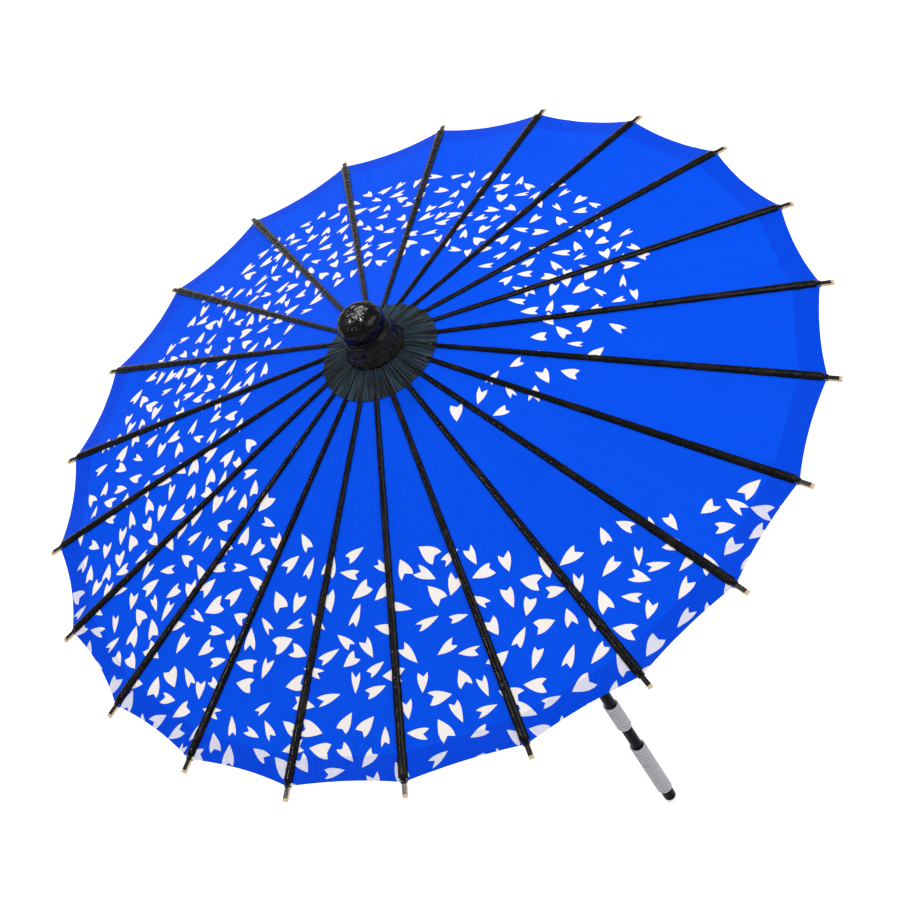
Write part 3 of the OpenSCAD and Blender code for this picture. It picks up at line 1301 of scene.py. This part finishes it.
# ---------------------------------------------------------------- head


@dataclass
class Head:
    """Lacquered paper gathered over the head wheel, tied in at the neck, with a ruffled skirt."""

    skeleton: Skeleton
    # Radius, and height above the rib hinges, from the skirt's hem to the middle of the dome
    outline: tuple[Point2, ...] = (
        (29.2 * MM, -1.9 * MM), (28.4 * MM, 1.2 * MM), (26.8 * MM, 6.0 * MM), (24.9 * MM, 12.5 * MM),
        (23.4 * MM, 18.2 * MM), (22.0 * MM, 20.4 * MM), (21.6 * MM, 22.6 * MM), (21.6 * MM, 25.0 * MM),
        (22.3 * MM, 28.5 * MM), (22.4 * MM, 33.0 * MM), (21.4 * MM, 37.6 * MM), (18.6 * MM, 41.6 * MM),
        (13.6 * MM, 44.2 * MM), (7.0 * MM, 45.2 * MM), (0.0, 45.4 * MM),
    )
    lining: tuple[Point2, ...] = ((20.6 * MM, 3.0 * MM), (21.4 * MM, 0.2 * MM), (26.5 * MM, -1.2 * MM))
    neck: Point2 = (20.2 * MM, 25.0 * MM)
    cord_turns: int = 3
    turns: int = 176
    rings: int = 96

    def profile(self, share: float) -> Point2:
        """A smooth curve through the outline.

        Args:
            share: From 0 at the hem to 1 at the top.

        Returns:
            Radius, and height above the rib hinges.
        """
        place = share * (len(self.outline) - 1)
        first = min(int(place), len(self.outline) - 2)
        t = place - first
        near = [self.outline[min(max(first + step, 0), len(self.outline) - 1)] for step in (-1, 0, 1, 2)]
        weights = (
            -t / 2 + t * t - t**3 / 2, 1 - 2.5 * t * t + 1.5 * t**3,
            t / 2 + 2 * t * t - 1.5 * t**3, -t * t / 2 + t**3 / 2,
        )
        radius = sum(weight * spot[0] for weight, spot in zip(weights, near))
        height = sum(weight * spot[1] for weight, spot in zip(weights, near))
        return max(radius, 0.0), height

    def shape(self, share: float, angle: float) -> Vector:
        """A point of the head's outer skin, with its gathers, cord and lumps.

        Args:
            share: From 0 at the hem to 1 at the top.
            angle: Round the shaft.

        Returns:
            The point, in the frame of the model.
        """
        radius, height = self.profile(share)
        cos, sin = math.cos(angle), math.sin(angle)
        low, high = self.neck
        # The gathered skirt lies on the ribs and dips between them
        ruffle = 1 - smooth(0.0, low, height)
        gather = noise.noise(Vector((cos * 5.5, sin * 5.5, height / (11 * MM))))
        lobes = math.cos(angle * self.skeleton.count)
        tight = noise.noise(Vector((cos * 14, sin * 14, 2.0))) * (1 - smooth(0.0, high, height))
        radius += (ruffle * (0.5 * lobes + 1.5 * gather) + 0.8 * tight) * MM
        height += ruffle**3 * (0.75 * lobes + 0.5 * gather) * MM
        tied = smooth(low - 0.6 * MM, low, height) * (1 - smooth(high, high + 0.6 * MM, height))
        wound = (height - low) / (high - low) * self.cord_turns + angle / (2 * math.pi)
        radius -= tied * 0.6 * MM * math.cos(2 * math.pi * wound)
        dome = smooth(high, high + 5 * MM, height)
        spot = Vector((cos * radius, sin * radius, height)) / (6.5 * MM)
        lump = noise.noise(spot) + 0.6 * noise.noise(spot * 2.3)
        pleat = noise.noise(Vector((cos * 3.8, sin * 3.8, 4.0)))
        crown = smooth(self.outline[-4][1], self.outline[-2][1], height)
        radius += (dome * (0.4 * lump + 0.5 * pleat) * (1 - crown) + 0.2 * lump) * MM
        height += dome * crown * 0.45 * lump * MM
        radius = max(radius, 0.0)
        return Vector((cos * radius, sin * radius, self.skeleton.hub_z + height))

    def build(self, lacquer: bpy.types.Material) -> None:
        """Makes the head as a closed skin that stands for the wrap and its cord.

        Args:
            lacquer: The finish.
        """
        mesh = bmesh.new()
        angles = [2 * math.pi * step / self.turns for step in range(self.turns)]
        loops = [
            [
                mesh.verts.new((radius * math.cos(a), radius * math.sin(a), self.skeleton.hub_z + height))
                for a in angles
            ]
            for radius, height in self.lining
        ]
        for ring in range(self.rings):
            loops.append([mesh.verts.new(self.shape(ring / self.rings, a)) for a in angles])
        for low, high in zip(loops, loops[1:]):
            for step in range(self.turns):
                after = (step + 1) % self.turns
                mesh.faces.new((low[step], low[after], high[after], high[step]))
        top = mesh.verts.new((0, 0, self.shape(1.0, 0.0).z))
        under = mesh.verts.new((0, 0, self.skeleton.hub_z + self.lining[0][1]))
        for step in range(self.turns):
            after = (step + 1) % self.turns
            mesh.faces.new((loops[-1][step], loops[-1][after], top))
            mesh.faces.new((loops[0][after], loops[0][step], under))
        bmesh.ops.recalc_face_normals(mesh, faces=mesh.faces[:])
        data = bpy.data.meshes.new("head_lacquer")
        mesh.to_mesh(data)
        mesh.free()
        data.polygons.foreach_set("use_smooth", [True] * len(data.polygons))
        data.materials.append(lacquer)
        piece = bpy.data.objects.new("head_lacquer", data)
        bpy.context.scene.collection.objects.link(piece)
        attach(piece, "root")
        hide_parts("head_wrap", "head_cord")
        LOG.info("head: %d faces", len(data.polygons))


# ---------------------------------------------------------------- grips


@dataclass
class Grips:
    """Two grips of flat cord wound closely round the shaft."""

    pitch: float = 4.9 * MM
    thick: float = 1.3 * MM
    wide: float = 2.5 * MM

    def recipe(self) -> Recipe:
        """A flat cord wound in a close helix round Z, from one height to another.

        Returns:
            The recipe.
        """
        make = Recipe("wound_cord", {
            "Low": "float", "High": "float", "Radius": "float", "Pitch": "float",
            "Thick": "float", "Wide": "float",
        })
        tall = make.size("High") - make.size("Low")
        turns = tall / make.size("Pitch")
        helix = make.term(
            "GeometryNodeCurveSpiral", None,
            {
                "Resolution": 36, "Rotations": turns, "Start Radius": make.size("Radius"),
                "End Radius": make.size("Radius"), "Height": tall,
            },
        )
        lifted = make.term(
            "GeometryNodeTransform", None, {0: helix, "Translation": make.vector(0.0, 0.0, make.size("Low"))}
        )
        level = make.term("GeometryNodeSetCurveNormal", {"mode": "Z_UP"}, {0: lifted})
        circle = make.term(
            "GeometryNodeCurvePrimitiveCircle", {"mode": "RADIUS"}, {"Resolution": 14, "Radius": 1.0}
        )
        flat = make.vector(make.size("Thick"), make.size("Wide"), 1.0)
        section = make.term("GeometryNodeTransform", None, {0: circle, "Scale": flat})
        wound = make.term(
            "GeometryNodeCurveToMesh", None, {"Curve": level, "Profile Curve": section, "Fill Caps": True}
        )
        make.close(wound)
        return make

    def build(self) -> None:
        """Makes both grips over their CAD solids."""
        recipe = self.recipe()
        for node in ("lower_grip", "upper_grip"):
            low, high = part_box(node)
            winding = WindingFinish(high.x, high.z - self.pitch).material(f"{node}_cord")
            wound = recipe.run(f"{node}_winding", {
                "Low": low.z + self.wide, "High": high.z - self.wide, "Radius": high.x - self.thick,
                "Pitch": self.pitch, "Thick": self.thick, "Wide": self.wide, "Finish": winding,
            })
            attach(wound, "root")
            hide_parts(node)
            LOG.info("%s: %d faces", wound.name, len(wound.data.polygons))


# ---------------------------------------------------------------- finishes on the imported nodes


def dress(names: list[str], finish: bpy.types.Material) -> None:
    """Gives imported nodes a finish.

    Args:
        names: The nodes.
        finish: Their material.
    """
    for name in names:
        mesh = frame["nodes"][name].data
        mesh.materials.clear()
        mesh.materials.append(finish)
    LOG.info("dressed %d nodes with %s", len(names), finish.name)


# ---------------------------------------------------------------- studio


@dataclass
class Studio:
    """Pale floor, soft lights and the camera."""

    azimuth: float = math.radians(2.94)
    elevation: float = math.radians(46.04)
    roll: float = math.radians(-33.1)
    distance: float = 2.182
    aim: tuple[float, float, float] = (0.0074, -0.0464, 0.6835)
    lens: float = 91.9
    floor_half: float = 9.0
    floor_gap: float = 2 * MM
    floor_glow: float = 0.62
    sky: float = 0.42

    def camera(self) -> None:
        """Makes the camera, turned about its own axis as the umbrella leans in view."""
        back = Vector((
            math.sin(self.azimuth) * math.cos(self.elevation),
            -math.cos(self.azimuth) * math.cos(self.elevation),
            math.sin(self.elevation),
        ))
        level = Vector((math.cos(self.azimuth), math.sin(self.azimuth), 0))
        upright = back.cross(level)
        right = level * math.cos(self.roll) + upright * math.sin(self.roll)
        up = back.cross(right)
        data = bpy.data.cameras.new("camera")
        data.lens = self.lens
        data.sensor_width = 36.0
        camera = bpy.data.objects.new("camera", data)
        spot = Vector(self.aim) + back * self.distance
        camera.matrix_world = Matrix.Translation(spot) @ Matrix((right, up, back)).transposed().to_4x4()
        bpy.context.scene.collection.objects.link(camera)
        bpy.context.scene.camera = camera

    def light(
        self, name: str, azimuth: float, elevation: float, away: float, size: float, power: float
    ) -> None:
        """Hangs one square soft light that faces the canopy.

        Args:
            name: Its name.
            azimuth: Degrees round the shaft from +X.
            elevation: Degrees above the floor.
            away: Distance from the canopy's middle.
            size: Its side.
            power: In watts.
        """
        turn, rise = math.radians(azimuth), math.radians(elevation)
        way = Vector((math.cos(turn) * math.cos(rise), math.sin(turn) * math.cos(rise), math.sin(rise)))
        data = bpy.data.lights.new(name, "AREA")
        data.size = size
        data.energy = power
        lamp = bpy.data.objects.new(name, data)
        lamp.location = Vector(self.aim) + way * away
        lamp.rotation_mode = "QUATERNION"
        lamp.rotation_quaternion = (-way).to_track_quat("-Z", "Y")
        bpy.context.scene.collection.objects.link(lamp)

    def floor(self) -> None:
        """Lays the floor under the umbrella's lowest point."""
        make = Surface("floor_white")
        spots = make.noise(make.place(), 3.0, 2.0)
        finish = make.finish(
            Base_Color=make.mix(dye(236, 236, 238), dye(240, 240, 241), spots),
            Roughness=0.9, Emission_Color=(1, 1, 1, 1), Emission_Strength=self.floor_glow,
        )
        half, low = self.floor_half, CAD_BOX[0].z - self.floor_gap
        mesh = bpy.data.meshes.new("floor")
        corners = [(-half, -half, low), (half, -half, low), (half, half, low), (-half, half, low)]
        mesh.from_pydata(corners, [], [(0, 1, 2, 3)])
        mesh.materials.append(finish)
        piece = bpy.data.objects.new("floor", mesh)
        bpy.context.scene.collection.objects.link(piece)

    def build(self) -> None:
        """Sets the whole studio up."""
        self.camera()
        self.floor()
        world = bpy.data.worlds.new("studio")
        bpy.context.scene.world = world
        world.use_nodes = True
        sky = world.node_tree.nodes["Background"]
        sky.inputs["Color"].default_value = (1.0, 1.0, 1.0, 1.0)
        sky.inputs["Strength"].default_value = self.sky
        self.light("window", azimuth=92.0, elevation=46.0, away=2.6, size=0.2, power=20.0)
        self.light("key", azimuth=175.0, elevation=62.0, away=2.8, size=0.2, power=14.0)
        self.light("side", azimuth=-20.0, elevation=50.0, away=2.9, size=1.8, power=36.0)
        settings = bpy.context.scene.view_settings
        settings.view_transform = "Standard"
        settings.look = "None"


# ---------------------------------------------------------------- main


def main() -> None:
    """Builds the umbrella's looks piece by piece, then the studio."""
    logging.basicConfig(level=logging.INFO, format="%(name)s: %(message)s")
    skeleton = Skeleton()
    slope = math.cos(skeleton.panel_slope)
    Studio().build()

    lacquer = LacquerFinish().material("lacquer")
    paper_radius, hem_width = 392.7 * MM, 24 * MM
    outer = paper_radius / slope
    hem_from = outer - hem_width / slope
    droop = {"scallop": 3.4 * MM, "sag": 3.2 * MM}
    blue = PaperFinish(dye(0, 80, 236), dye(0, 58, 206), dye(0, 68, 220), hem_from).material("blue_paper")
    white = PaperFinish(
        dye(250, 243, 240), dye(236, 230, 234), dye(212, 214, 238), hem_from, 0.5
    ).material("petal_white")
    canopy = PaperSheet(
        skeleton, "canopy", "canopy", "blue_paper", inner=30 * MM / slope, outer=outer,
        rise=1.2 * MM, thickness=0.35 * MM, **droop,
    )
    petals = PetalPrint()
    scattered = petals.scatter(skeleton, outer)
    LOG.info("petals: %d", len(scattered))
    canopy.build([blue, white], lambda gore: petals.on_gore(scattered, skeleton, gore))
    hem = PaperSheet(
        skeleton, "hem", "hem_strip", "blue_paper", inner=hem_from, outer=outer - 0.4 * MM,
        rise=0.85 * MM, thickness=0.3 * MM, **droop,
    )
    hem.build([blue], lambda gore: [])
    fold_shade_and_tone = CrownPaperFinish().material("crown_paper")
    crown = CrownPaper(
        skeleton, "crown", "crown_paper", "crown_paper", inner=23.5 * MM / slope,
        outer=56.4 * MM / slope, rise=0.0, thickness=0.3 * MM, grid=1.6 * MM, strips=10,
    )
    crown.build([fold_shade_and_tone], lambda gore: [])
    # The second colour is the ribs' brownish speckle: partly wear, partly painted sheen of the lacquer
    rib_lacquer = LacquerFinish(dye(12, 11, 12), dye(46, 38, 34), shine=0.1, lump=0.9 * MM)
    RibDressing(skeleton).build(rib_lacquer.material("rib_lacquer"))
    Head(skeleton).build(lacquer)
    Grips().build()

    shaft_lacquer = LacquerFinish(dye(2, 5, 11), dye(7, 12, 22), shine=0.03, lump=0.15 * MM)
    dress(["shaft", "end_cap"], shaft_lacquer.material("shaft_lacquer"))
    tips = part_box("rib_01")[1].x
    dress(skeleton.names("rib"), BambooFinish(tips=tips, lacquered=True).material("rib_bamboo"))
    dress(skeleton.names("strut"), BambooFinish().material("strut_bamboo"))
    dress(["head_wheel", "runner"], TurnedWoodFinish().material("turned_wood"))
    steel = MetalFinish(dye(190, 190, 194), dye(120, 118, 116)).material("ring_wire")
    dress(["head_ring", "runner_ring", "catch_pin"], steel)
    dress(["catch"], MetalFinish(dye(206, 170, 96), dye(140, 104, 52)).material("brass"))


if __name__ == "__main__":
    main()
